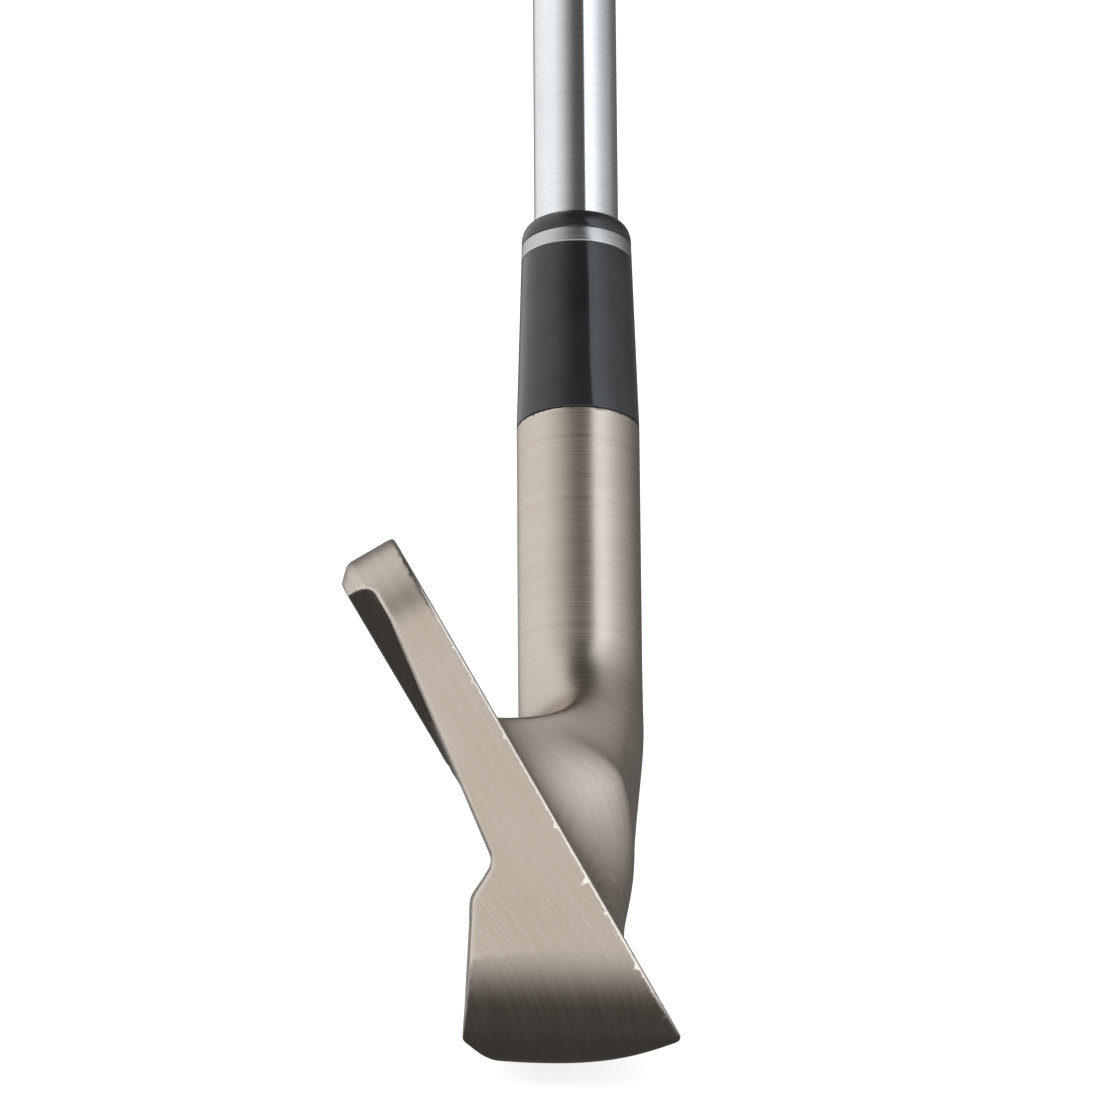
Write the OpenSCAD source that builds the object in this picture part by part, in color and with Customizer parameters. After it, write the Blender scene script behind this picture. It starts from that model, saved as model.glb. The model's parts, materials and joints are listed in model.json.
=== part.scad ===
// Iron golf club: a forged cavity-back head with a fixed hosel, a ringed ferrule,
// a stepped steel shaft and a rubber grip, soled on the ground as at address.
//
// Frame: the origin is where the shaft axis meets the ground. +X is the way the
// face looks, +Y leans with the shaft towards the heel and the player, -Y is the
// toe and +Z is up. Lengths are in millimetres.

/* [Club] */
// Length along the shaft axis, from the ground to the end of the grip
club_length = 940; // [920:5:960]
// Lie, the angle between the shaft axis and the ground
lie = 62; // [61:0.5:63]
// Loft, the angle between the face and the vertical
loft = 31; // [30:0.5:32]

/* [Blade] */
// How far the leading edge stands ahead of the shaft axis
edge_ahead = 4; // [3.5:0.25:4.5]
// Height of the leading edge over the ground at the middle of the sole
edge_height = 3; // [2.75:0.25:3.25]
// Width of the sole from leading edge to trailing edge
sole_width = 21.6; // [21:0.2:22.4]
// How much narrower the sole is at the heel
sole_taper = 5.6; // [5:0.2:6.2]
// Height of the muscle's rear wall at the middle of the sole
muscle_height = 16.8; // [16.4:0.2:17.4]
// Distance of the toe's furthest point from the shaft axis at the ground
toe_reach = 79.4; // [78:0.2:80]
// Angle of the topline against the sole, measured on the face
topline_angle = 27.3; // [27:0.1:28]
// Height of the topline on the face, in line with the crotch at the hosel
crotch_rise = 31.5; // [31:0.25:32]
// Thickness of the top rail, from the face to its rear
rail_thickness = 6.6; // [6.2:0.2:7]
// Width of the top rail on the rear of the blade
rail_width = 4.8; // [4.4:0.2:5.6]
// Thickness of the face behind the cavity
face_thickness = 2.6; // [2.4:0.1:2.9]
// Radius of the sole from heel to toe
sole_rocker = 380; // [360:10:420]
// Number of score lines on the face
score_lines = 12; // [10:1:13]

/* [Hosel and ferrule] */
// Outside diameter of the hosel
hosel_d = 13.6; // [13.4:0.1:13.8]
// Distance along the axis from the ground to the top of the hosel
hosel_top = 64.5; // [63:0.5:66]
// Depth of the bore that takes the shaft tip
bore_depth = 32; // [30:1:33]
// Length of the whole ferrule
ferrule_length = 24.5; // [23.5:0.5:25.5]
// Width of the metal ring in the ferrule
ring_width = 1.5; // [1.3:0.1:1.7]

/* [Shaft] */
// Diameter of the shaft's parallel tip
tip_d = 9.4; // [9.2:0.1:9.5]
// Diameter of the shaft's butt
butt_d = 15.2; // [15:0.1:15.4]
// Wall of the shaft
shaft_wall = 0.46; // [0.42:0.02:0.56]
// Number of steps in the shaft
shaft_steps = 14; // [12:1:15]

/* [Grip] */
// Length of the grip with its cap
grip_length = 268; // [262:2:274]
// Diameter of the cap at the end of the grip
cap_d = 26.8; // [26.4:0.2:27.2]
// Diameter of the vent hole in the cap
vent_d = 3.2; // [3:0.1:3.4]

/* [Hidden] */
$fn = 96;
eps = 0.02;

// How far cutting shapes run past what they cut, across and along the blade
past = 20;
span = 120;

// Blade: y across from the shaft axis to the toe, v up the face, w behind the face
toe_peak_r = 10;
toe_side_v = 12;
crotch_y = -9;
topline_slope = tan(topline_angle);
toe_corner_y = crotch_y - 61.6;
lower_toe_r = 32;
lower_toe_y = -52;
outline_low = -14;
upper_low = 12;
heel_y = 6;
rail_bevel = 1.5;
section_pitch = 4;

rim_top_t = 4.3;
rim_low_t = 7;
rim_top_v = 53;
rim_low_v = 27;
rim_width = 5;
cavity_heel_y = -28;

rocker_y = -36;
sole_corner_r = 24;
camber_x = edge_ahead - 11.3;
front_camber = 0.0215;
rear_camber = 0.012;
taper_toe_y = -64;
taper_heel_y = -10;
trail_chamfer = [2.8, 2.3];
muscle_floor_v = 27.4;
nose_r = 0.9;

line_first_v = 5;
line_pitch = 3.6;
line_width = 0.9;
line_depth = 0.5;
line_heel_y = -17;
line_toe_y = -62;

// Neck: the sections turn about a line across the crotch, at the fillet's centre
fillet_r = 12;
hosel_r = hosel_d / 2;
neck_y = -0.37;
neck_z = 39.3;
neck_from = -113.7;
heel_z = 0.4;
neck_haste = 1.8;
neck_middle = [-6.5, 14];
neck_inset = 0.985;
neck_seat = 0.08;
neck_to = lie - 90;
neck_cut = 0.3;
heel_turn = 50;
neck_steps = 22;
neck_eighth = 8;
neck_h = neck_y * cos(lie) + neck_z * sin(lie);

// Stack behind the face
damper_t = 0.6;
tape_t = 0.15;
badge_t = 0.7;

// Ferrule and bond
ring_below_top = 2.4;
ferrule_top_r = 6.05;
collar_top_r = 4.95;
bond_gap = 0.1;
bore_r = tip_d / 2 + bond_gap;
bore_end = hosel_top - bore_depth;
bond_floor = 0.6;
tip_end = bore_end + bond_floor;
ferrule_top = hosel_top + ferrule_length;
ring_top = ferrule_top - ring_below_top;
ring_low = ring_top - ring_width;

// Shaft
cap_wall = 5;
butt_end = club_length - cap_wall - 0.5;
grip_mouth = club_length - grip_length;
first_step = 300;
last_step = grip_mouth - 30;
step_rise = (butt_d - tip_d) / 2 / shaft_steps;
step_pitch = (last_step - first_step) / (shaft_steps - 1);
step_ramp = 2;
plug_len = 14;
plug_r = tip_d / 2 - shaft_wall;

// Grip
wrap_t = 0.2;
core_r = butt_d / 2 + wrap_t;
mouth_r = 8.7;
grip_butt_r = 11.9;
cap_land = 6;
cap_low = club_length - 12;
cap_r = cap_d / 2;

// ---------- helpers ----------

function unit(v) = v / norm(v);
function turned(v, a) = [v.x * cos(a) - v.y * sin(a), v.x * sin(a) + v.y * cos(a)];
function smooth(t) = t * t * (3 - 2 * t);
function between(a, b, t) = a + (b - a) * t;

// The arc of radius r that rounds the corner b of the path a, b, c
function corner_arc(a, b, c, r, steps = 14) =
    let (
        u = unit(a - b),
        w = unit(c - b),
        half = acos(u * w) / 2,
        centre = b + unit(u + w) * r / sin(half),
        from = b + u * r / tan(half) - centre,
        to = b + w * r / tan(half) - centre,
        turn = (180 - 2 * half) * sign(cross(from, to))
    )
    [for (i = [0:steps]) centre + turned(from, turn * i / steps)];

// An outline through corners [x, y, radius]
function rounded(corners) =
    let (n = len(corners))
    [for (i = [0:n - 1])
        let (
            a = corners[(i + n - 1) % n],
            b = corners[i],
            c = corners[(i + 1) % n]
        )
        each b[2] > 0
            ? corner_arc([a.x, a.y], [b.x, b.y], [c.x, c.y], b[2])
            : [[b.x, b.y]]];

// The point a fraction f of the way along a path of points
function path_length(p) = len(p) < 2 ? 0 : norm(p[1] - p[0]) + path_length([for (i = [1:len(p) - 1]) p[i]]);
function walk(p, left) =
    let (step = norm(p[1] - p[0]))
    left <= step || len(p) == 2
        ? between(p[0], p[1], left / step)
        : walk([for (i = [1:len(p) - 1]) p[i]], left - step);
function along(p, f) = walk(p, f * path_length(p));

// The x and z of a point v up the face and w behind it
function face_point(v, w = 0) = [
    edge_ahead - v * sin(loft) - w * cos(loft),
    edge_height + v * cos(loft) - w * sin(loft)
];

// The x of the face at a height z
function face_x(z) = edge_ahead - (z - edge_height) * tan(loft);

// Places children in the frame of the face: x out of it, y across, z up it
module on_face() {
    translate([edge_ahead, 0, edge_height])
        rotate([0, -loft, 0])
            children();
}

// Extrudes a drawing of y across and v up the face, from depth w0 to depth w1 behind it
module behind_face(w0, w1) {
    on_face()
        translate([-w1, 0, 0])
            rotate([90, 0, 90])
                linear_extrude(w1 - w0)
                    children();
}

// Places children on the shaft axis, h from the ground
module on_shaft(h = 0) {
    rotate([lie - 90, 0, 0])
        translate([0, 0, h])
            children();
}

// ---------- blade drawings ----------

topline_heel = crotch_rise - (heel_y - crotch_y) * topline_slope;
topline_toe = crotch_rise + (crotch_y - toe_corner_y) * topline_slope;

// The blade seen square to the face, from the hosel to the toe
blade_outline = rounded([
    [heel_y, outline_low, 0],
    [heel_y, topline_heel, 0],
    [toe_corner_y, topline_toe, toe_peak_r],
    [-toe_reach - 1.6, toe_side_v, lower_toe_r],
    [lower_toe_y, outline_low, 0]
]);

// The blade seen along X: the sole's corner up into the toe, and the plane where the neck starts
function neck_line(d) = [neck_y + neck_cut + d * cos(neck_from), neck_z + d * sin(neck_from), 0];
front_outline = rounded([
    neck_line(-span / 2),
    [-toe_reach - 1, 80, 0],
    [-toe_reach - 1, 0.2, sole_corner_r],
    [rocker_y, 0, 0],
    neck_line(44)
]);

// Rise of the sole at y, from its lowest point
function rocker(y) = pow(y - rocker_y, 2) / 2 / sole_rocker;

// The trailing edge at y
function trail_x(y) =
    edge_ahead - sole_width
        + sole_taper * min(1, max(0, (y - taper_toe_y) / (taper_heel_y - taper_toe_y)));

// The sole's camber from leading to trailing edge
function camber(x) = (x > camber_x ? front_camber : rear_camber) * pow(x - camber_x, 2);

// The lower blade's section at y, as points of x and z from the face down, round and up
function lower_section(y) =
    let (
        rise = rocker(y),
        trail = trail_x(y),
        chamfer_x = trail + trail_chamfer.x,
        sole_from = edge_ahead - 2.2,
        floor_v = muscle_floor_v + rise / cos(loft),
        nose = corner_arc(
            face_point(20),
            [edge_ahead + 0.35, edge_height - 0.55],
            [sole_from, camber(sole_from)],
            nose_r,
            5
        )
    )
    concat(
        [face_point(floor_v + 1)],
        [for (p = nose) [p.x + face_x(p.y + rise) - face_x(p.y), p.y + rise]],
        [for (i = [0:9])
            let (x = between(sole_from, chamfer_x, i / 9))
            [x, camber(x) + rise]],
        [
            [trail, camber(chamfer_x) + trail_chamfer.y + rise],
            [trail - 0.3, muscle_height + rise],
            face_point(floor_v, face_thickness)
        ]
    );

// The rim's inner edge, square to the face
cavity_outline = rounded([
    [cavity_heel_y, upper_low + 4, 4],
    [cavity_heel_y, 70, 0],
    [-toe_reach + rim_width + 9, 70, 0],
    [-toe_reach + rim_width, upper_low + 8, 8],
    [-toe_reach + rim_width + 6, upper_low + 2, 3]
]);

// ---------- head ----------

module blade_prism(w0, w1) {
    behind_face(w0, w1)
        polygon(blade_outline);
}

// Everything on the toe side of the neck and above the sole
module front_prism() {
    rotate([90, 0, 90])
        translate([0, 0, -span / 2])
            linear_extrude(span)
                polygon(front_outline);
}

module face_plate() {
    behind_face(0, face_thickness)
        intersection() {
            polygon(blade_outline);
            translate([-span, upper_low])
                square([span + past, span]);
        }
}

// The rail follows the topline; its underside drafts out towards the cavity floor
module top_rail() {
    low = -rail_width;
    draft = rail_thickness * tan(loft);
    intersection() {
        hull() {
            blade_prism(0, rail_thickness - rail_bevel);
            behind_face(rail_thickness - eps, rail_thickness)
                offset(delta = -rail_bevel)
                    polygon(blade_outline);
        }
        on_face()
            translate([0, crotch_y, crotch_rise])
                rotate([-topline_angle, 0, 0])
                    translate([0, past, 0])
                        rotate([90, 0, 0])
                            linear_extrude(span)
                                polygon([
                                    [0.5, past],
                                    [0.5, low - draft],
                                    [0, low - draft],
                                    [-rail_thickness, low],
                                    [-rail_thickness - 1, low],
                                    [-rail_thickness - 1, past]
                                ]);
    }
}

module rim() {
    intersection() {
        difference() {
            blade_prism(0, 12);
            behind_face(-1, 13)
                polygon(cavity_outline);
        }
        on_face()
            translate([0, heel_y, 0])
                rotate([90, 0, 0])
                    linear_extrude(span)
                        polygon([
                            [0, upper_low],
                            [0, rim_top_v + 4],
                            [-rim_top_t, rim_top_v + 4],
                            [-rim_top_t, rim_top_v],
                            [-rim_low_t, rim_low_v],
                            [-rim_low_t, upper_low]
                        ]);
    }
}

// Joins sections that have the same number of points into one closed solid
module skin(sections) {
    ring = len(sections[0]);
    count = len(sections);
    sides = [for (k = [0:count - 2], i = [0:ring - 1])
        let (
            a = k * ring + i,
            b = k * ring + (i + 1) % ring
        )
        each [[a, b, b + ring], [a, b + ring, a + ring]]];
    polyhedron(
        [for (s = sections) each s],
        concat(
            sides,
            [[for (i = [ring - 1:-1:0]) i]],
            [[for (i = [0:ring - 1]) (count - 1) * ring + i]]
        )
    );
}

module muscle() {
    intersection() {
        skin([for (y = [heel_y:-section_pitch:-toe_reach - section_pitch])
            [for (p = lower_section(y)) [p.x, y, p.y]]]);
        blade_prism(-1, 40);
    }
}

// Distance from the neck's turning line of a height z in the plane where the neck starts
function neck_depth(z) = (neck_z - z) / -sin(neck_from);

// Where the neck starts, as x and z, in eighths that match the eighths of the hosel's circle
neck_base_y = neck_y - neck_z / tan(neck_from);
heel_trail = trail_x(neck_base_y);
heel_chamfer_x = heel_trail + trail_chamfer.x;
rail_top_v = (neck_z + fillet_r * sin(neck_from) - edge_height) / cos(loft);
low_z = camber(camber_x) + heel_z;
neck_edge = [edge_ahead - 0.15, edge_height - 0.1];
neck_face = [face_point(8), face_point(18)];
neck_top = face_point(rail_top_v);
neck_rail = face_point(rail_top_v - rail_bevel, rail_thickness);
neck_start = [
    [[camber_x, low_z], [edge_ahead - 5, camber(edge_ahead - 5) + heel_z], neck_edge],
    [neck_edge, neck_face[0]],
    [neck_face[0], neck_face[1]],
    [neck_face[1], neck_top],
    [neck_top, neck_rail],
    [neck_rail, [heel_trail - 0.3, muscle_height - 1]],
    [[heel_trail - 0.3, muscle_height - 1], [heel_trail, trail_chamfer.y + 0.8]],
    [
        [heel_trail, trail_chamfer.y + 0.8],
        [heel_chamfer_x, camber(heel_chamfer_x) + heel_z],
        [camber_x, low_z]
    ]
];

// Distance from the neck's turning line to the sole and heel, at angle a
function neck_outer(a) =
    let (
        hosel_side = (fillet_r + hosel_d) / cos(a - neck_to),
        sole_side = (neck_z - heel_z) / -sin(a),
        turn = neck_to - heel_turn,
        hosel_share = a > turn ? 1 : smooth((a - neck_from) / (turn - neck_from)),
        sole_share = a > turn ? smooth((neck_to - a) / heel_turn) : 1,
        p = 8
    )
    pow(hosel_share * pow(hosel_side, -p) + sole_share * pow(sole_side, -p), -1 / p);

// How far each eighth follows the loft, at its start and at its end: the face, the topline and
// the rail lean with it, while the sole and the muscle's rear wall do not
neck_lean = [[0, 1], [1, 1], [1, 1], [1, 1], [1, 1], [1, 0], [0, 0], [0, 0]];

// A point of the neck: t from the blade to the hosel, f along one eighth of the way round
function neck_point(t, eighth, f) =
    let (
        a = between(neck_from, neck_to, t),
        s = smooth(1 - pow(1 - t, neck_haste)),
        start = between(neck_middle, along(neck_start[eighth], f), neck_inset),
        start_fraction = (neck_depth(start.y) - fillet_r) / (neck_depth(low_z) - fillet_r),
        round = 45 * (eighth + f),
        fraction = between(start_fraction, (1 + cos(round)) / 2, s),
        seat = s * neck_seat,
        reach = between(fillet_r + seat, neck_outer(a) - seat, fraction),
        z = neck_z + reach * sin(a),
        lean = between(neck_lean[eighth][0], neck_lean[eighth][1], f) * tan(loft),
        x = between(start.x + (start.y - z) * lean, (hosel_r - seat) * sin(round), s)
    )
    [x, neck_y + reach * cos(a), z];

module neck() {
    skin([for (k = [0:neck_steps])
        [for (e = [0:7], i = [0:neck_eighth - 1])
            neck_point(k / neck_steps, e, i / neck_eighth)]]);
}

module score_cuts() {
    for (i = [0:score_lines - 1]) {
        v = line_first_v + i * line_pitch;
        heel_end = min(line_heel_y, crotch_y - (v + 7 - crotch_rise) / topline_slope);
        on_face()
            translate([-line_depth, line_toe_y, v])
                cube([line_depth + 1, heel_end - line_toe_y, line_width]);
    }
}

module head_body() {
    color([0.66, 0.6, 0.53])
        difference() {
            union() {
                intersection() {
                    union() {
                        face_plate();
                        top_rail();
                        rim();
                        muscle();
                    }
                    front_prism();
                }
                neck();
                on_shaft(neck_h - neck_cut)
                    cylinder(h = hosel_top - neck_h + neck_cut, d = hosel_d);
            }
            on_shaft(bore_end)
                cylinder(h = bore_depth + 1, r = bore_r);
            score_cuts();
        }
}

// ---------- what sits in the cavity ----------

// A drawing that follows the cavity's lower part, a margin inside its edge
module cavity_field(margin) {
    low = muscle_floor_v + 2 + margin;
    heel = cavity_heel_y - 3 - margin;
    toe = -toe_reach + rim_width + 5 + margin;
    draft = (rail_thickness - face_thickness) * tan(loft);
    drop = (rail_width + draft + margin) / cos(topline_angle);
    polygon(rounded([
        [heel, low, 0.6],
        [heel, crotch_rise + (crotch_y - heel) * topline_slope - drop, 0.6],
        [toe + 3, crotch_rise + (crotch_y - toe - 3) * topline_slope - drop, 4],
        [toe, low, 2]
    ]));
}

module cavity_damper() {
    color([0.1, 0.1, 0.11])
        behind_face(face_thickness, face_thickness + damper_t)
            cavity_field(1);
}

module badge_tape() {
    color([0.25, 0.25, 0.26])
        behind_face(face_thickness + damper_t, face_thickness + damper_t + tape_t)
            cavity_field(1.5);
}

module cavity_badge() {
    low = face_thickness + damper_t + tape_t;
    color([0.2, 0.2, 0.21])
        behind_face(low, low + badge_t)
            cavity_field(1.2);
}

// ---------- ferrule ----------

function ferrule_r(h) = between(hosel_r, ferrule_top_r, (h - hosel_top) / ferrule_length);

// A sleeve round the shaft from h0 to h1, tapering with the ferrule
module ferrule_piece(h0, h1) {
    on_shaft()
        rotate_extrude()
            polygon([
                [tip_d / 2, h0],
                [ferrule_r(h0), h0],
                [ferrule_r(h1), h1],
                [tip_d / 2, h1]
            ]);
}

module ferrule_body() {
    color([0.05, 0.05, 0.055])
        ferrule_piece(hosel_top, ring_low);
}

module ferrule_ring() {
    color([0.78, 0.77, 0.75])
        ferrule_piece(ring_low, ring_top);
}

module ferrule_collar() {
    shoulder = ferrule_r(ring_top) - collar_top_r;
    color([0.05, 0.05, 0.055])
        on_shaft()
            rotate_extrude()
                polygon(concat(
                    [[tip_d / 2, ring_top], [ferrule_r(ring_top), ring_top]],
                    [for (a = [0:9:90])
                        [
                            collar_top_r + shoulder * cos(a),
                            ring_top + 0.5 + (ring_below_top - 0.5) * sin(a)
                        ]],
                    [[tip_d / 2, ferrule_top]]
                ));
}

// ---------- shaft ----------

// Where step i of the shaft starts
function step_h(i) = first_step + i * step_pitch;

// Half of the shaft's drawing, from the tip to the butt
shaft_outside = concat(
    [[tip_d / 2, tip_end]],
    [for (i = [0:shaft_steps - 1])
        each [
            [tip_d / 2 + i * step_rise, step_h(i)],
            [tip_d / 2 + (i + 1) * step_rise, step_h(i) + step_ramp]
        ]],
    [[butt_d / 2, butt_end]]
);

module shaft() {
    inside = [for (i = [len(shaft_outside) - 1:-1:0])
        [shaft_outside[i].x - shaft_wall, shaft_outside[i].y]];
    color([0.82, 0.82, 0.82])
        on_shaft()
            rotate_extrude()
                polygon(concat(shaft_outside, inside));
}

// Epoxy between the shaft tip and the bore, with the film under the tip
module shaft_bond() {
    color([0.75, 0.7, 0.5])
        on_shaft()
            difference() {
                translate([0, 0, bore_end])
                    cylinder(h = hosel_top - bore_end, r = bore_r);
                translate([0, 0, tip_end])
                    cylinder(h = bore_depth, d = tip_d);
            }
}

// Brass swing-weight plug inside the shaft tip
module tip_weight() {
    color([0.8, 0.65, 0.35])
        on_shaft(tip_end)
            cylinder(h = plug_len, r = plug_r);
}

// ---------- grip ----------

module grip_tape() {
    color([0.85, 0.82, 0.72])
        on_shaft(grip_mouth + 1)
            difference() {
                cylinder(h = butt_end - grip_mouth - 1, r = core_r);
                translate([0, 0, -1])
                    cylinder(h = grip_length + 2, d = butt_d);
            }
}

// Outside radius of the grip, h from the ground
function grip_r(h) =
    let (t = (h - grip_mouth) / (cap_low - grip_mouth))
    between(mouth_r, grip_butt_r, 0.75 * t + 0.25 * smooth(t));

module grip_sleeve() {
    lip = 1;
    body = [for (t = [0:0.05:1]) between(grip_mouth + lip, cap_low, t)];
    color([0.07, 0.07, 0.075])
        on_shaft()
            rotate_extrude()
                polygon(concat(
                    [[core_r, cap_low], [core_r, grip_mouth], [mouth_r - lip / 2, grip_mouth]],
                    [for (h = body) [grip_r(h), h]]
                ));
}

// The cap closes the butt, swells out to a short land and has a vent hole
module grip_cap() {
    land_low = club_length - cap_land - 3;
    dome = 3;
    color([0.07, 0.07, 0.075])
        on_shaft()
            rotate_extrude()
                polygon(concat(
                    [
                        [core_r, cap_low],
                        [grip_butt_r, cap_low],
                        [cap_r, land_low],
                        [cap_r, land_low + cap_land]
                    ],
                    [for (a = [10:10:90])
                        [cap_r - dome + dome * cos(a), club_length - dome + dome * sin(a)]],
                    [
                        [vent_d / 2, club_length],
                        [vent_d / 2, club_length - cap_wall],
                        [core_r, club_length - cap_wall]
                    ]
                ));
}

head_body();
cavity_damper();
badge_tape();
cavity_badge();
ferrule_body();
ferrule_ring();
ferrule_collar();
shaft_bond();
tip_weight();
shaft();
grip_tape();
grip_sleeve();
grip_cap();
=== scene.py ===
"""Iron golf club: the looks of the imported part.

Frame: the origin is where the shaft axis meets the ground, +X is the way the face looks, +Y leans
with the shaft towards the heel, -Y is the toe and +Z is up. Shapes are worked out in millimetres and
stored in metres.
"""

import json
import math

import bpy
import numpy as np
import openvdb
from mathutils import Matrix, Vector


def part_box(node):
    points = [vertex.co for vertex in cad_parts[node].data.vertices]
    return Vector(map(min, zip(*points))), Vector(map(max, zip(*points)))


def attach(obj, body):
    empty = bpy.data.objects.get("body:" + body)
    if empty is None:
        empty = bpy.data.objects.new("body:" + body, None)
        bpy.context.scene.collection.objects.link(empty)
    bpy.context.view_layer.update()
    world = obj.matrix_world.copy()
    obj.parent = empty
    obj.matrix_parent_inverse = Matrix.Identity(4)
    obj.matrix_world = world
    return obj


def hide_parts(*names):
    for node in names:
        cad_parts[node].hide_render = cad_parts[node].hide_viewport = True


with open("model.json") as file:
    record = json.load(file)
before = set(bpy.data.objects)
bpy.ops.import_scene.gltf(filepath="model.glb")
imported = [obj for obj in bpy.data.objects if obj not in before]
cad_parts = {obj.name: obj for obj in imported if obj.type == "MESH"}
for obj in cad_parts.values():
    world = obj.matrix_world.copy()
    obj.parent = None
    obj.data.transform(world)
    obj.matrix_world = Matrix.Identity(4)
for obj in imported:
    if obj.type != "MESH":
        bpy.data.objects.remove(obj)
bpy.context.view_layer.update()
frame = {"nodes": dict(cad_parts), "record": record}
MM = 0.001

# ---------- sizes read from the frame ----------


def mount(name):
    return next(m for m in frame["record"]["mounts"] if m["name"] == name)


SHAFT = np.array(mount("grip_vent")["axis"])
LIE_SIN, LIE_COS = SHAFT[2], SHAFT[1]
FACE_NORMAL = np.array(mount("face_flat")["axis"])
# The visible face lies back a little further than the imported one, as the club does from the toe
EXTRA_LOFT = math.radians(0.7)
LOFT = math.atan2(FACE_NORMAL[2], FACE_NORMAL[0]) + EXTRA_LOFT
LOFT_COS, LOFT_SIN, LOFT_TAN = math.cos(LOFT), math.sin(LOFT), math.tan(LOFT)


def node_box(node):
    """A CAD node's lowest and highest corner in millimetres."""
    low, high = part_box(node)
    return np.array(low) / MM, np.array(high) / MM


def round_on_shaft(node):
    """The lowest and highest point along the shaft axis, and the largest radius, of a round node."""
    low, high = node_box(node)
    radius = (high[0] - low[0]) / 2
    return (
        (low[2] + radius * LIE_COS) / LIE_SIN,
        (high[2] - radius * LIE_COS) / LIE_SIN,
        radius,
    )


HOSEL_TOP, RING_LOW, HOSEL_R = round_on_shaft("ferrule_body")
_, RING_TOP, _ = round_on_shaft("ferrule_ring")
COLLAR_HEIGHT = 2.4
FERRULE_TOP = RING_TOP + COLLAR_HEIGHT
BORE_LOW, _, BORE_R = round_on_shaft("shaft_bond")
BOND_THICKNESS = 0.1
TIP_R = BORE_R - BOND_THICKNESS
HEAD_LOW, HEAD_HIGH = node_box("head_body")
TOE_Y = HEAD_LOW[1]
# The leading edge's height, and how far it is ahead of the shaft axis
EDGE_Z = 4.2
EDGE_X = 4.25

# ---------- the blade's shape ----------

CROTCH_Y = -9.0
CROTCH_RISE = 31.75
TOPLINE_SLOPE = math.tan(math.radians(26.4))
OUTLINE_LOW = -14.0
TOE_CORNER_Y = CROTCH_Y - 61.6
HEEL_Y = 6.0
TOE_SIDE_V, TOE_SIDE_R = 26.0, 110.0
UPPER_LOW = 11.0

FACE_THICKNESS = 2.6
RAIL_THICKNESS = 6.75
RAIL_WIDTH = 4.8
RAIL_BEVEL = 1.5
RIM_THIN, RIM_THIN_V = 4.3, 51.6
RIM_THICK, RIM_THICK_V = 7.5, 25.6
RIM_HEEL_THICK, RIM_HEEL_REACH = 6.6, 2.0
RIM_WIDTH = 5.0
CAVITY_HEEL_Y = -28.0

ROCKER_Y, ROCKER_R = -34.0, 330.0
SOLE_WIDTH, SOLE_TAPER = 22.5, 8.6
TAPER_TOE_Y, TAPER_HEEL_Y = -73.0, -10.0
CAMBER_X = EDGE_X - 13.8
FRONT_CAMBER, REAR_CAMBER = 0.019, 0.012
NOSE_X = EDGE_X - 2.2
NOSE_SLOPE = 0.43
# The sole slopes, so the height above it is a little more than the distance from it
SOLE_EVEN = 0.97
TRAIL_CHAMFER = (2.8, 2.3)
MUSCLE_HEIGHT = 16.8
MUSCLE_LEAN = 0.25
MUSCLE_FLOOR_V = 26.0
SOLE_CORNER_R = 12.5

SCORE_LINES = 12
LINE_FIRST_V, LINE_PITCH, LINE_WIDTH, LINE_DEPTH = 4.0, 3.6, 0.9, 0.5
LINE_HEEL_Y, LINE_TOE_Y = -17.0, -62.0
LINE_TOP_ROOM = 7.0
LINE_SIDE_SLOPE, LINE_END_SLOPE, LINE_END_R = 0.5, 0.3, 0.3
# The share of the pitch below a line that already belongs to it
LINE_EARLY = 0.3
LINE_BREAK = 0.12

EDGE_BREAK = 0.4
FINE_BREAK = 0.25
INNER_FILLET = 0.7


def round_max(a, b, r):
    """The inside of both a and b, with their edge rounded to radius r."""
    return np.minimum(np.maximum(a, b), -r) + np.hypot(
        np.maximum(a + r, 0), np.maximum(b + r, 0)
    )


def round_min(a, b, r):
    """The inside of either a or b, with a fillet of radius r between them."""
    return -round_max(-a, -b, r)


def smooth(t):
    t = np.clip(t, 0, 1)
    return t * t * (3 - 2 * t)


def rounded_convex(u, v, corners):
    """Signed distance of points u, v from a convex outline, with corners (u, v, radius) anticlockwise."""
    points = [np.array(c[:2], float) for c in corners]
    count = len(points)
    ways = [points[(i + 1) % count] - points[i] for i in range(count)]
    ways = [w / np.hypot(*w) for w in ways]
    sides = [
        (u - p[0]) * w[1] - (v - p[1]) * w[0]
        for p, w in zip(points, ways)
    ]
    distance = np.max(sides, axis=0)
    for i, (_, _, radius) in enumerate(corners):
        if radius:
            before, after = ways[i - 1], ways[i]
            inward = after - before
            half = math.acos(float(np.clip(-before @ after, -1, 1))) / 2
            centre = points[i] + inward / np.hypot(*inward) * radius / math.sin(half)
            du, dv = u - centre[0], v - centre[1]
            in_corner = (du * before[0] + dv * before[1] > 0) & (
                du * after[0] + dv * after[1] < 0
            )
            distance = np.where(in_corner, np.hypot(du, dv) - radius, distance)
    return distance


def face_place(x, z):
    """Where a point lies by the face: v up it from the leading edge, and w behind it."""
    v = (z - EDGE_Z) * LOFT_COS - (x - EDGE_X) * LOFT_SIN
    w = (EDGE_X - x) * LOFT_COS - (z - EDGE_Z) * LOFT_SIN
    return v, w


def face_point(v, w=0.0):
    """The x and z of a point v up the face and w behind it."""
    return (
        EDGE_X - v * LOFT_SIN - w * LOFT_COS,
        EDGE_Z + v * LOFT_COS - w * LOFT_SIN,
    )


def topline_v(y):
    return CROTCH_RISE + (CROTCH_Y - y) * TOPLINE_SLOPE


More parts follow.
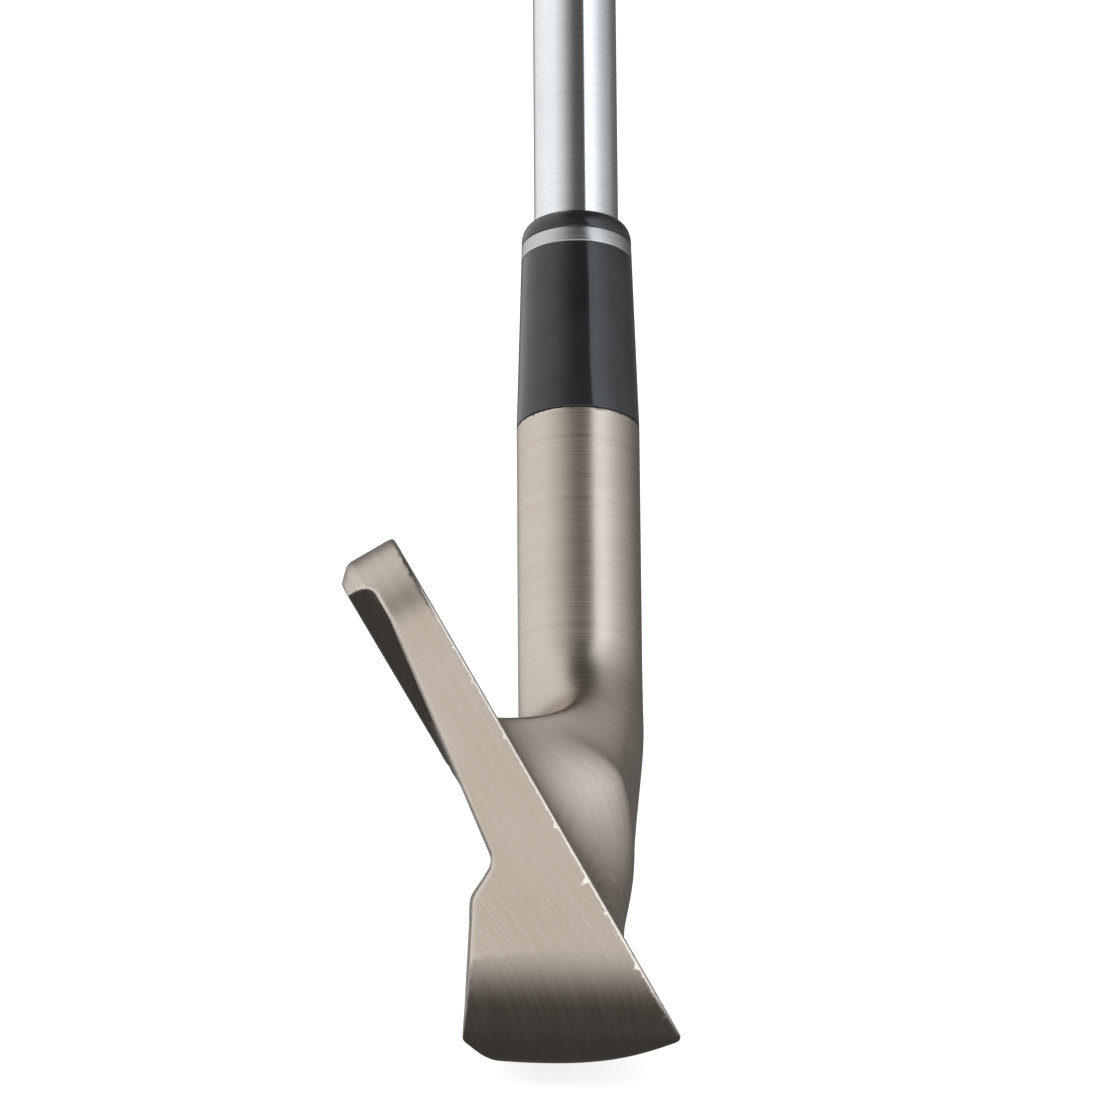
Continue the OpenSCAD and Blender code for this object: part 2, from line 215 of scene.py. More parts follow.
BLADE_OUTLINE = [
    (HEEL_Y + 20, OUTLINE_LOW, 0),
    (HEEL_Y + 20, topline_v(HEEL_Y + 20), 0),
    (TOE_CORNER_Y, topline_v(TOE_CORNER_Y), 10),
    (TOE_Y, TOE_SIDE_V, TOE_SIDE_R),
    (TOE_Y, OUTLINE_LOW, 0),
]
CAVITY_OUTLINE = [
    (CAVITY_HEEL_Y, UPPER_LOW + 4, 4),
    (CAVITY_HEEL_Y, 70, 0),
    (TOE_Y + RIM_WIDTH + 9, 70, 0),
    (TOE_Y + RIM_WIDTH, UPPER_LOW + 8, 8),
    (TOE_Y + RIM_WIDTH + 6, UPPER_LOW + 2, 3),
]


def camber(x):
    """The sole's height across the blade: two bows that meet at CAMBER_X, and a straight nose."""
    rise = np.where(x > CAMBER_X, FRONT_CAMBER, REAR_CAMBER) * (x - CAMBER_X) ** 2
    nose = FRONT_CAMBER * (NOSE_X - CAMBER_X) ** 2 + NOSE_SLOPE * (x - NOSE_X)
    return np.where(x > NOSE_X, nose, rise)


def muscle(x, z, y, rise):
    """The lower blade behind the face: trailing chamfer, rear wall and top."""
    share = np.clip((y - TAPER_TOE_Y) / (TAPER_HEEL_Y - TAPER_TOE_Y), 0, 1)
    trail = EDGE_X - SOLE_WIDTH + SOLE_TAPER * share
    chamfer_x, chamfer_z = TRAIL_CHAMFER
    low = camber(trail + chamfer_x) + rise
    chamfer = (
        (trail + chamfer_x - x) * chamfer_z + (low - z) * chamfer_x
    ) / math.hypot(chamfer_x, chamfer_z)
    top_z = MUSCLE_HEIGHT + rise
    low = low + chamfer_z
    rear = trail + MUSCLE_LEAN * (z - low) / (top_z - low) - x
    floor_v = MUSCLE_FLOOR_V + rise / LOFT_COS
    to_x = EDGE_X - floor_v * LOFT_SIN - FACE_THICKNESS * LOFT_COS
    to_z = EDGE_Z + floor_v * LOFT_COS - FACE_THICKNESS * LOFT_SIN
    across, up = to_x - (trail + MUSCLE_LEAN), to_z - top_z
    top = ((z - top_z) * across - (x - trail - MUSCLE_LEAN) * up) / np.hypot(across, up)
    return round_max(round_max(rear, top, FINE_BREAK), chamfer, FINE_BREAK)


def blade(x, y, z):
    """Signed distance from the blade, which runs on past the heel."""
    v, w = face_place(x, z)
    outline = rounded_convex(y, v, BLADE_OUTLINE)
    rise = (y - ROCKER_Y) ** 2 / (2 * ROCKER_R)
    sole = (camber(x) + rise - z) * SOLE_EVEN
    toe_corner = round_max(TOE_Y - y, rise - z, SOLE_CORNER_R)

    depth = (topline_v(y) - v) / math.hypot(1, TOPLINE_SLOPE)
    under = (depth - RAIL_WIDTH - (RAIL_THICKNESS - w) * LOFT_TAN) * LOFT_COS
    bevel = (w + outline - RAIL_THICKNESS + RAIL_BEVEL) / math.sqrt(2)
    rail = round_max(round_max(under, w - RAIL_THICKNESS, FINE_BREAK), bevel, FINE_BREAK)

    thick = np.where(y > CAVITY_HEEL_Y - RIM_HEEL_REACH, RIM_HEEL_THICK, RIM_THICK)
    rim_slope = (thick - RIM_THIN) / (RIM_THIN_V - RIM_THICK_V)
    rim_w = np.clip(RIM_THIN + (RIM_THIN_V - v) * rim_slope, RIM_THIN, thick)
    rim = round_max(-rounded_convex(y, v, CAVITY_OUTLINE), w - rim_w, FINE_BREAK)

    solid = round_min(w - FACE_THICKNESS, rail, INNER_FILLET)
    solid = round_min(solid, rim, INNER_FILLET)
    solid = round_min(solid, muscle(x, z, y, rise), INNER_FILLET)
    solid = round_max(solid, outline, EDGE_BREAK)
    solid = np.maximum(solid, toe_corner)
    solid = round_max(solid, -w, EDGE_BREAK)
    solid = round_max(solid, sole, 2 * EDGE_BREAK)
    return solid


# ---------- the neck: the blade's section sweeps round the crotch into the hosel's circle ----------

FILLET_R = 14.0
TURN_R = FILLET_R + HOSEL_R
TILT_TAN = TOPLINE_SLOPE * LOFT_COS
CROTCH_Z = EDGE_Z + CROTCH_RISE * LOFT_COS
CROTCH_SIDE = CROTCH_Z + TILT_TAN * (CROTCH_Y + TURN_R * LIE_SIN)
NECK_H = (FILLET_R * math.hypot(1, TILT_TAN) + CROTCH_SIDE - TURN_R * LIE_COS) / (
    LIE_SIN + TILT_TAN * LIE_COS
)
NECK_Y = NECK_H * LIE_COS - TURN_R * LIE_SIN
NECK_Z = NECK_H * LIE_SIN + TURN_R * LIE_COS
NECK_FROM = -math.pi / 2 - math.atan(TILT_TAN)
NECK_TO = -math.atan2(LIE_COS, LIE_SIN)
HEEL_TURN = math.radians(50)
HEEL_Z = 0.4
NECK_HASTE = 2.2
FRONT_FROM, FRONT_RUN = 0.03, 0.27
SLIM, SLIM_TO, SLIM_RUN = 0.26, 0.72, 0.5
FRONT_X, REAR_X = -4.5, -10.5
NECK_CENTRE = (-6.5, 14.0)
# Points of the blade's section that the hosel's eighths are matched to
FACE_KNOTS = (7.0, 17.0)
EDGE_INSET = (0.15, 0.1)
# How squarely the heel turns into the sole
TURN_POWER = 8
NECK_SLICES = 121
NECK_SPOKES = 720
SLICE_POINTS = 40
SOFT_SPOKES, SOFT_WIDTH = 12, 4.0


def path_point(path, share):
    """Points a share of the way along a path."""
    path = np.array(path, float)
    run = np.concatenate([[0], np.cumsum(np.hypot(*np.diff(path, axis=0).T))])
    at = share * run[-1]
    return np.stack([np.interp(at, run, path[:, k]) for k in (0, 1)], 1)


def neck_start():
    """The blade's section where the neck starts: eight paths of x and z, one for each eighth of the hosel."""
    base_y = NECK_Y - NECK_Z / math.tan(NECK_FROM)
    share = (base_y - TAPER_TOE_Y) / (TAPER_HEEL_Y - TAPER_TOE_Y)
    trail = EDGE_X - SOLE_WIDTH + SOLE_TAPER * share
    rail_v = (NECK_Z + FILLET_R * math.sin(NECK_FROM) - EDGE_Z) / LOFT_COS
    edge = (EDGE_X - EDGE_INSET[0], EDGE_Z - EDGE_INSET[1])
    face = [face_point(v) for v in FACE_KNOTS]
    top = face_point(rail_v)
    rail = face_point(rail_v - RAIL_BEVEL, RAIL_THICKNESS)
    wall = (trail + MUSCLE_LEAN, MUSCLE_HEIGHT - 1)
    chamfer = (trail, TRAIL_CHAMFER[1] + 0.8)
    foot_x = trail + TRAIL_CHAMFER[0]
    foot = (foot_x, float(camber(foot_x)) + HEEL_Z)
    low = (foot_x + 3, float(camber(foot_x + 3)) + HEEL_Z)
    front = (EDGE_X - 5, float(camber(EDGE_X - 5)) + HEEL_Z)
    return [
        [low, front, edge],
        [edge, face[0]],
        [face[0], face[1]],
        [face[1], top],
        [top, rail],
        [rail, wall],
        [wall, chamfer],
        [chamfer, foot, low],
    ]


def neck_outer(angle):
    """How far the heel and the sole are from the neck's turning line."""
    hosel_side = (FILLET_R + 2 * HOSEL_R) / math.cos(angle - NECK_TO)
    sole_side = (NECK_Z - HEEL_Z) / -math.sin(angle)
    turn = NECK_TO - HEEL_TURN
    hosel_share, sole_share = 1.0, 1.0
    if angle > turn:
        sole_share = float(smooth((NECK_TO - angle) / HEEL_TURN))
    else:
        hosel_share = float(smooth((angle - NECK_FROM) / (turn - NECK_FROM)))
    sides = hosel_share * hosel_side**-TURN_POWER + sole_share * sole_side**-TURN_POWER
    return sides ** (-1 / TURN_POWER)


def softened(row):
    """A closed row of radii with its kinks softened."""
    kernel = np.exp(-0.5 * (np.arange(-SOFT_SPOKES, SOFT_SPOKES + 1) / SOFT_WIDTH) ** 2)
    padded = np.concatenate([row[-SOFT_SPOKES:], row, row[:SOFT_SPOKES]])
    return np.convolve(padded, kernel / kernel.sum(), "valid")


def neck_table():
    """For each slice of the neck, its centre and its radius in each direction round it."""
    start = neck_start()
    shares = np.arange(SLICE_POINTS) / SLICE_POINTS
    lean_ends = [(0, 1), (1, 1), (1, 1), (1, 1), (1, 1), (1, 0), (0, 0), (0, 0)]
    from_xz = np.concatenate([path_point(p, shares) for p in start])
    turn = np.concatenate([math.pi / 4 * (e + shares) for e in range(8)])
    lean = np.concatenate([a + (b - a) * shares for a, b in lean_ends]) * LOFT_TAN
    depth = (NECK_Z - from_xz[:, 1]) / -math.sin(NECK_FROM)
    full = (NECK_Z - HEEL_Z) / -math.sin(NECK_FROM) - FILLET_R
    spokes = np.linspace(-math.pi, math.pi, NECK_SPOKES, endpoint=False)
    centres, radii = [], []
    for t in np.linspace(0, 1, NECK_SLICES):
        angle = NECK_FROM + (NECK_TO - NECK_FROM) * t
        s = float(smooth(1 - (1 - t) ** NECK_HASTE))
        front = float(smooth((t - FRONT_FROM) / FRONT_RUN))
        ahead = smooth((from_xz[:, 0] - REAR_X) / (FRONT_X - REAR_X))
        s_x = front * ahead + s * (1 - ahead)
        share = (depth - FILLET_R) / full * (1 - s) + (1 + np.cos(turn)) / 2 * s
        reach = FILLET_R + (neck_outer(angle) - FILLET_R) * share
        z = NECK_Z + reach * math.sin(angle)
        x = (from_xz[:, 0] + (from_xz[:, 1] - z) * lean) * (1 - s_x)
        slim = 1 - SLIM * float(smooth((SLIM_TO - t) / SLIM_RUN)) * ahead
        x = x + HOSEL_R * slim * np.sin(turn) * s_x
        centre_reach = (NECK_Z - NECK_CENTRE[1]) / -math.sin(NECK_FROM)
        centre = (
            NECK_CENTRE[0] * (1 - s),
            centre_reach * (1 - s) + TURN_R * s,
        )
        way = np.arctan2(reach - centre[1], x - centre[0])
        radius = np.hypot(reach - centre[1], x - centre[0])
        order = np.argsort(way)
        row = np.interp(spokes, way[order], radius[order], period=2 * math.pi)
        centres.append(centre)
        radii.append(softened(row))
    return np.array(centres), np.array(radii)


NECK_CENTRES, NECK_RADII = neck_table()
NECK_SLOPES = (
    np.gradient(np.pad(NECK_RADII, ((0, 0), (1, 1)), "wrap"), axis=1)[:, 1:-1]
    / (2 * math.pi / NECK_SPOKES)
    / NECK_RADII
)


def sweep_place(y, z):
    """Where a point lies in the sweep of the neck.

    That is how far along it in millimetres, which slice, and how far from the turning line.
    """
    dy, dz = y - NECK_Y, z - NECK_Z
    before = dy * -math.sin(NECK_FROM) + dz * math.cos(NECK_FROM)
    after = dy * -math.sin(NECK_TO) + dz * math.cos(NECK_TO)
    angle = np.arctan2(dz, dy)
    t = np.clip((angle - NECK_FROM) / (NECK_TO - NECK_FROM), 0, 1)
    reach = np.hypot(dy, dz)
    in_blade = before < 0
    in_hosel = (after > 0) & ~in_blade
    reach = np.where(in_blade, dy * math.cos(NECK_FROM) + dz * math.sin(NECK_FROM), reach)
    reach = np.where(in_hosel, dy * math.cos(NECK_TO) + dz * math.sin(NECK_TO), reach)
    t = np.where(in_blade, 0, np.where(in_hosel, 1, t))
    arc = TURN_R * (NECK_TO - NECK_FROM)
    place = np.where(in_blade, before, np.where(in_hosel, arc + after, arc * t))
    return place, t, reach


def neck(x, t, reach):
    """Signed distance from the neck and hosel, near enough."""
    row = t * (NECK_SLICES - 1)
    i = np.minimum(row.astype(np.int32), NECK_SLICES - 2)
    f = row - i
    centre = NECK_CENTRES[i] * (1 - f)[..., None] + NECK_CENTRES[i + 1] * f[..., None]
    dx, dr = x - centre[..., 0], reach - centre[..., 1]
    spoke = (np.arctan2(dr, dx) + math.pi) / (2 * math.pi) * NECK_SPOKES
    j = spoke.astype(np.int32)
    g = spoke - j
    j, k = j % NECK_SPOKES, (j + 1) % NECK_SPOKES

    def read(table):
        low = table[i, j] * (1 - g) + table[i, k] * g
        high = table[i + 1, j] * (1 - g) + table[i + 1, k] * g
        return low * (1 - f) + high * f

    gap = np.hypot(dx, dr) - read(NECK_RADII)
    return gap / np.sqrt(1 + read(NECK_SLOPES) ** 2)


# Where along the sweep the blade's shape gives way to the neck's
CROSSFADE = (-5.0, 3.0)


def score_line(y, v, w):
    """Signed distance from the nearest score line's groove."""
    number = np.clip(np.floor((v - LINE_FIRST_V) / LINE_PITCH + LINE_EARLY), 0, SCORE_LINES - 1)
    middle = LINE_FIRST_V + number * LINE_PITCH + LINE_WIDTH / 2
    below_top = (middle + LINE_TOP_ROOM - CROTCH_RISE) / TOPLINE_SLOPE
    heel_end = np.minimum(LINE_HEEL_Y, CROTCH_Y - below_top)
    across = np.abs(v - middle) - LINE_WIDTH / 2
    ends = np.maximum(y - heel_end, LINE_TOE_Y - y)
    walls = round_max(across + LINE_SIDE_SLOPE * w, ends + LINE_END_SLOPE * w, LINE_END_R)
    return np.maximum(walls, w - LINE_DEPTH)


def head(points):
    """Signed distance from the whole head, near enough, in millimetres."""
    x, y, z = points[..., 0], points[..., 1], points[..., 2]
    place, t, reach = sweep_place(y, z)
    share = smooth((place - CROSSFADE[0]) / (CROSSFADE[1] - CROSSFADE[0]))
    solid = blade(x, y, z) * (1 - share) + neck(x, t, reach) * share
    h = y * LIE_COS + z * LIE_SIN
    side = z * LIE_COS - y * LIE_SIN
    solid = round_max(solid, h - HOSEL_TOP, FINE_BREAK)
    bore = np.maximum(np.hypot(x, side) - BORE_R, BORE_LOW - h)
    solid = np.maximum(solid, -bore)
    v, w = face_place(x, z)
    return round_max(solid, -score_line(y, v, w), LINE_BREAK)


# ---------- meshing ----------

VOXEL = 0.26
ADAPTIVITY = 0.003
BLOCK = 24
BAND = 4.0
# A block is skipped when its middle is further from the surface than this many half-diagonals
SKIP_REACH = 1.6
PROBE_STEP = 0.04
# Putting the mesh's points on the surface: rounds, longest move in voxels, least squared slope
SETTLE_ROUNDS, SETTLE_REACH, LEAST_SLOPE = 3, 0.6, 0.3
TINY = 1e-9


def voxel_field(shape, low, high, size):
    """The distance function on a grid: worked out near the surface, and the band's width elsewhere."""
    count = np.ceil((high - low) / size / BLOCK).astype(int)
    field = np.empty(count * BLOCK, np.float32)
    reach = size * BLOCK * math.sqrt(3) / 2
    step = np.arange(BLOCK) * size
    offsets = np.stack(np.meshgrid(step, step, step, indexing="ij"), -1)
    middle = np.full(3, (BLOCK - 1) / 2 * size)
    for i in range(count[0]):
        for j in range(count[1]):
            for k in range(count[2]):
                corner = low + np.array([i, j, k]) * BLOCK * size
                at = float(shape((corner + middle)[None])[0])
                if abs(at) > SKIP_REACH * reach:
                    values = math.copysign(BAND * size, at)
                else:
                    values = shape(corner + offsets)
                field[
                    i * BLOCK : (i + 1) * BLOCK,
                    j * BLOCK : (j + 1) * BLOCK,
                    k * BLOCK : (k + 1) * BLOCK,
                ] = values
    return np.clip(field, -BAND * size, BAND * size)


def slope_of(shape, points, step=PROBE_STEP):
    """The distance function's gradient at points."""
    gradient = np.empty_like(points)
    for axis in range(3):
        move = np.zeros(3)
        move[axis] = step
        gradient[:, axis] = (shape(points + move) - shape(points - move)) / (2 * step)
    return gradient


def mesh_of_shape(name, shape, low, high, size, adaptivity):
    """A closed mesh of a distance function, with its points on the surface and its normals from it."""
    field = voxel_field(shape, low, high, size)
    grid = openvdb.FloatGrid(BAND * size)
    grid.gridClass = openvdb.GridClass.LEVEL_SET
    grid.copyFromArray(field)
    points, triangles, quads = grid.convertToPolygons(0.0, adaptivity)
    points = points.astype(np.float64) * size + low
    for _ in range(SETTLE_ROUNDS):
        gradient = slope_of(shape, points)
        length = np.maximum((gradient**2).sum(1), LEAST_SLOPE)
        move = (shape(points) / length)[:, None] * gradient
        way = np.maximum(np.hypot(np.hypot(*move[:, :2].T), move[:, 2]), TINY)
        points -= move * np.minimum(1, SETTLE_REACH * size / way)[:, None]
    faces = [f[::-1].tolist() for f in triangles] + [f[::-1].tolist() for f in quads]
    mesh = bpy.data.meshes.new(name)
    mesh.from_pydata((points * MM).tolist(), [], faces)
    mesh.update()
    gradient = slope_of(shape, points)
    normals = gradient / np.maximum(np.linalg.norm(gradient, axis=1), TINY)[:, None]
    some_faces = mesh.polygons[:2000]
    agreement = sum(f.normal.dot(Vector(normals[f.vertices[0]])) for f in some_faces)
    if agreement < 0:
        mesh.flip_normals()
    mesh.shade_smooth()
    mesh.normals_split_custom_set_from_vertices(normals.tolist())
    return mesh, points, normals


def add_float(mesh, name, values):
    layer = mesh.attributes.new(name, "FLOAT", "POINT")
    layer.data.foreach_set("value", np.asarray(values, np.float32))


def link(name, mesh):
    piece = bpy.data.objects.new(name, mesh)
    bpy.context.scene.collection.objects.link(piece)
    return piece


# The toe side's brushing fans out below FAN_TOP, and turns along the hosel over HOSEL_RUN
FAN_TOP, FAN_SHARE = 26.0, 0.6
HOSEL_RUN_FROM, HOSEL_RUN = -4.0, 14.0
FACE_LOOK, SOLE_LOOK = 0.75, -0.8
EDGE_PROBE = 0.35


def make_head():
    """The head, with the direction of its brushing and how sharply its edges bend stored on its points; the
    bend places the painted edge highlight.
    """
    margin = 1.0
    mesh, points, normals = mesh_of_shape(
        "head", head, HEAD_LOW - margin, HEAD_HIGH + margin, VOXEL, ADAPTIVITY
    )
    x, y, z = points.T
    v, w = face_place(x, z)
    place, _, _ = sweep_place(y, z)
    share = smooth((place - HOSEL_RUN_FROM) / HOSEL_RUN)
    flat = np.abs(normals @ FACE_NORMAL) > FACE_LOOK
    under = normals[:, 2] < SOLE_LOOK
    upright = FAN_SHARE * smooth((FAN_TOP - z) / FAN_TOP)
    fan = w * (1 - upright) - x * upright
    on_blade = np.where(flat, v, np.where(under, x, fan))
    add_float(mesh, "brush", on_blade * (1 - share) + place * share)
    add_float(mesh, "hosel", share)
    # How sharply the surface bends outward: it sets where the painted edge highlight goes
    bend = -6 * head(points)
    for axis in range(3):
        move = np.zeros(3)
        move[axis] = EDGE_PROBE
        bend = bend + head(points + move) + head(points - move)
    add_float(mesh, "edge", np.clip(bend / EDGE_PROBE, -1, 1))
    return link("head", mesh)


def arc(centre, radius, start, stop, steps=6):
    """Points of an arc from angle start to stop in degrees."""
    angles = np.radians(np.linspace(start, stop, steps + 1))
    return [
        (centre[0] + radius * math.cos(a), centre[1] + radius * math.sin(a))
        for a in angles
    ]


def turned(name, profile, segments=160, sharp=40):
    """A closed solid of revolution about the shaft axis, from points (radius, height from the ground)."""
    profile = np.array(profile, float)
    angles = np.linspace(0, 2 * math.pi, segments, endpoint=False)
    side = np.array([0, -LIE_SIN, LIE_COS])
    rings = (
        profile[:, None, 1, None] * SHAFT
        + profile[:, None, 0, None]
        * (np.cos(angles)[:, None] * np.array([1.0, 0, 0]) + np.sin(angles)[:, None] * side)[None]
    )
    count = len(profile)
    points = rings.reshape(-1, 3) * MM
    faces = []
    for i in range(count):
        for j in range(segments):
            here, above = i * segments, ((i + 1) % count) * segments
            beside = (j + 1) % segments
            faces.append((here + j, here + beside, above + beside, above + j))
    mesh = bpy.data.meshes.new(name)
    mesh.from_pydata(points.tolist(), [], faces)
    mesh.update()
    area = 0.5 * np.sum(
        profile[:, 0] * np.roll(profile[:, 1], -1) - np.roll(profile[:, 0], -1) * profile[:, 1]
    )
    if area < 0:
        mesh.flip_normals()
    mesh.shade_smooth()
    mesh.set_sharp_from_angle(angle=math.radians(sharp))
    return link(name, mesh)


FERRULE_TOP_R = 6.05
FERRULE_BREAK = 0.12
COLLAR_TOP_R = 4.95
COLLAR_WALL = 0.5


def ferrule_r(h):
    """The ferrule's radius at a height: it narrows evenly from the hosel's."""
    share = (h - HOSEL_TOP) / (FERRULE_TOP - HOSEL_TOP)
    return HOSEL_R + (FERRULE_TOP_R - HOSEL_R) * share


def ferrule_foot(low):
    """Out from the bore along a piece's foot, and round its lower edge."""
    centre = (ferrule_r(low) - FERRULE_BREAK, low + FERRULE_BREAK)
    return [(TIP_R, low)] + arc(centre, FERRULE_BREAK, -90, 0)


def ferrule_end(high):
    """Round a piece's upper edge, and in to the bore."""
    centre = (ferrule_r(high) - FERRULE_BREAK, high - FERRULE_BREAK)
    return arc(centre, FERRULE_BREAK, 0, 90) + [(TIP_R, high)]


def collar_shoulder():
    """The collar's short wall and the quarter round above it, up to its top."""
    across = ferrule_r(RING_TOP) - COLLAR_TOP_R
    low = RING_TOP + COLLAR_WALL
    up = FERRULE_TOP - RING_TOP - COLLAR_WALL
    return [
        (COLLAR_TOP_R + across * math.cos(a), low + up * math.sin(a))
        for a in np.radians(np.linspace(0, 90, 13))
    ]


def make_ferrule():
    side = [(ferrule_r(h), h) for h in np.linspace(HOSEL_TOP, RING_LOW, 5)[1:-1]]
    body = ferrule_foot(HOSEL_TOP) + side + ferrule_end(RING_LOW)
    ring = ferrule_foot(RING_LOW) + ferrule_end(RING_TOP)
    collar = ferrule_foot(RING_TOP) + collar_shoulder() + [(TIP_R, FERRULE_TOP)]
    return (
        turned("ferrule_body_shell", body),
        turned("ferrule_ring_band", ring),
        turned("ferrule_collar_ring", collar),
    )


head_piece = make_head()
body_piece, ring_piece, collar_piece = make_ferrule()
REPLACED = {
    head_piece: ("head_body", "head_metal"),
    body_piece: ("ferrule_body", "ferrule_black"),
    ring_piece: ("ferrule_ring", "ferrule_silver"),
    collar_piece: ("ferrule_collar", "ferrule_black"),
}
for piece, (node, slot) in REPLACED.items():
    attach(piece, "root")
    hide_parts(node)

# ---------- materials ----------


def put(tree, value, socket):
    """Gives a socket a number, or links another socket to it."""
    if isinstance(value, (int, float)):
        socket.default_value = value
    else:
        tree.links.new(value, socket)


def maths_node(tree, operation, values):
    """A number worked out from sockets and numbers."""
    node = tree.nodes.new("ShaderNodeMath")
    node.operation = operation
    for socket, value in zip(node.inputs, values):
        put(tree, value, socket)
    return node.outputs[0]


class Paint:
    """A principled material built from small, named steps."""

    def __init__(self, name, colour, metal, rough):
        self.made = bpy.data.materials.new(name)
        self.made.use_nodes = True
        self.tree = self.made.node_tree
        self.tree.nodes.clear()
        out = self.tree.nodes.new("ShaderNodeOutputMaterial")
        self.shader = self.tree.nodes.new("ShaderNodeBsdfPrincipled")
        self.tree.links.new(self.shader.outputs[0], out.inputs[0])
        self.set("Base Color", (*colour, 1))
        self.set("Metallic", metal)
        self.set("Roughness", rough)

    def set(self, name, value):
        self.shader.inputs[name].default_value = value

    def drive(self, name, socket):
        self.tree.links.new(socket, self.shader.inputs[name])

    def place(self):
        return self.tree.nodes.new("ShaderNodeTexCoord").outputs["Object"]

    def stored(self, name):
        node = self.tree.nodes.new("ShaderNodeAttribute")
        node.attribute_name = name
        return node.outputs["Fac"]

    def maths(self, operation, *values):
        return maths_node(self.tree, operation, values)

    def mix(self, first, first_share, second, second_share):
        """Two numbers added in given shares."""
        return self.maths(
            "ADD",
            self.maths("MULTIPLY", first, first_share),
            self.maths("MULTIPLY", second, second_share),
        )

    def turn(self, socket, matrix_rows):
        """The place read along three directions, each scaled: lines lie across the largest scale."""
        parts = []
        for row in matrix_rows:
            node = self.tree.nodes.new("ShaderNodeVectorMath")
            node.operation = "DOT_PRODUCT"
            self.tree.links.new(socket, node.inputs[0])
            node.inputs[1].default_value = tuple(float(v) for v in row)
            parts.append(node.outputs["Value"])
        return self.join(*parts)

    def join(self, x, y, z):
        node = self.tree.nodes.new("ShaderNodeCombineXYZ")
        for socket, value in zip(node.inputs, (x, y, z)):
            put(self.tree, value, socket)
        return node.outputs[0]

    def noise(self, vector, scale=1.0, detail=2.0, roughness=0.5):
        node = self.tree.nodes.new("ShaderNodeTexNoise")
        node.inputs["Scale"].default_value = scale
        node.inputs["Detail"].default_value = detail
        node.inputs["Roughness"].default_value = roughness
        self.tree.links.new(vector, node.inputs["Vector"])
        return node.outputs["Fac"]

    def span(self, socket, low, high, to_low, to_high, smooth=False):
        node = self.tree.nodes.new("ShaderNodeMapRange")
        if smooth:
            node.interpolation_type = "SMOOTHSTEP"
        for name, value in (
            ("From Min", low), ("From Max", high), ("To Min", to_low), ("To Max", to_high)
        ):
            node.inputs[name].default_value = value
        self.tree.links.new(socket, node.inputs["Value"])
        return node.outputs[0]

    def blend(self, share, first, second):
        """A colour between two colours, each a triple or a socket."""
        node = self.tree.nodes.new("ShaderNodeMix")
        node.data_type = "RGBA"
        sockets = [s for s in node.inputs if s.type == "RGBA"]
        for socket, value in zip(sockets, (first, second)):
            if isinstance(value, tuple):
                socket.default_value = (*value, 1)
            else:
                self.tree.links.new(value, socket)
        self.tree.links.new(share, node.inputs["Factor"])
        return next(s for s in node.outputs if s.type == "RGBA")

    def bump(self, height, depth_mm, strength=1.0):
        node = self.tree.nodes.new("ShaderNodeBump")
        node.inputs["Strength"].default_value = strength
        node.inputs["Distance"].default_value = depth_mm * MM
        self.tree.links.new(height, node.inputs["Height"])
        self.drive("Normal", node.outputs[0])


PER_MM = 1 / MM
ACROSS = np.array([1.0, 0, 0])
SIDE = np.array([0, -LIE_SIN, LIE_COS])
FLOOR_GLOW = 0.75
# The head's brushing: each layer's lines a millimetre across it, and its place in the noise
BRUSH_LAYERS = ((11.0, 3.0), (5.0, 17.0), (1.6, 31.0))
BRUSH_ALONG = 70.0
PEWTER_DARK, PEWTER_LIGHT = (0.56, 0.475, 0.395), (0.70, 0.615, 0.535)
# The lighter colour of the painted highlight on convex edges, which also stands for polish from wear
POLISHED_EDGE_HIGHLIGHT = (0.86, 0.81, 0.75)


def brushed_head():
    """Brushed pewter: long lines, a slow change of tone, and a painted highlight on convex edges that also
    stands for edges polished by wear.
    """
    paint = Paint("brushed_head_metal", (0.62, 0.54, 0.46), 1.0, 0.3)
    place = paint.place()
    brush = paint.stored("brush")
    wide = paint.turn(place, np.eye(3) * BRUSH_ALONG)
    lines = []
    for pitch, seed in BRUSH_LAYERS:
        shift = paint.join(paint.maths("MULTIPLY", brush, pitch), seed, 0.0)
        node = paint.tree.nodes.new("ShaderNodeVectorMath")
        paint.tree.links.new(shift, node.inputs[0])
        paint.tree.links.new(wide, node.inputs[1])
        lines.append(paint.noise(node.outputs[0], 1.0, 2.0, 0.6))
    fine, middle, coarse = lines
    grain = paint.mix(fine, 0.55, middle, 0.45)
    clouds = paint.noise(place, 90.0, 2.0)
    edge = paint.stored("edge")
    # Convex edges are painted lighter: a painted highlight along them, partly standing for polish from wear
    painted_edge_highlight = paint.span(edge, 0.3, 1.4, 0.0, 0.6, smooth=True)
    tone = paint.mix(grain, 0.7, coarse, 0.3)
    tone = paint.mix(tone, 0.8, clouds, 0.2)
    share = paint.span(tone, 0.32, 0.68, 0.0, 1.0)
    metal = paint.blend(share, PEWTER_DARK, PEWTER_LIGHT)
    paint.drive("Base Color", paint.blend(painted_edge_highlight, metal, POLISHED_EDGE_HIGHLIGHT))
    rough = paint.span(grain, 0.3, 0.7, 0.24, 0.36)
    paint.drive("Roughness", rough)
    paint.bump(grain, 0.005, 1.0)
    return paint.made


def moulded_black(name, base, rough, around_mm):
    """Polished black plastic with faint turning lines under a clear coat."""
    paint = Paint(name, base, 0.0, rough)
    place = paint.place()
    rings = paint.turn(place, (ACROSS * 60, SIDE * 60, SHAFT * PER_MM / around_mm))
    lines = paint.noise(rings, 1.0, 3.0)
    clouds = paint.noise(place, 260.0, 2.0)
    share = paint.span(clouds, 0.35, 0.65, 0.0, 1.0)
    light = tuple(c * 1.5 + 0.002 for c in base)
    paint.drive("Base Color", paint.blend(share, base, light))
    paint.drive("Roughness", paint.span(lines, 0.3, 0.7, rough * 0.8, rough * 1.35))
    paint.set("Coat Weight", 0.4)
    paint.set("Coat Roughness", 0.05)
    paint.bump(lines, 0.003)
    return paint.made


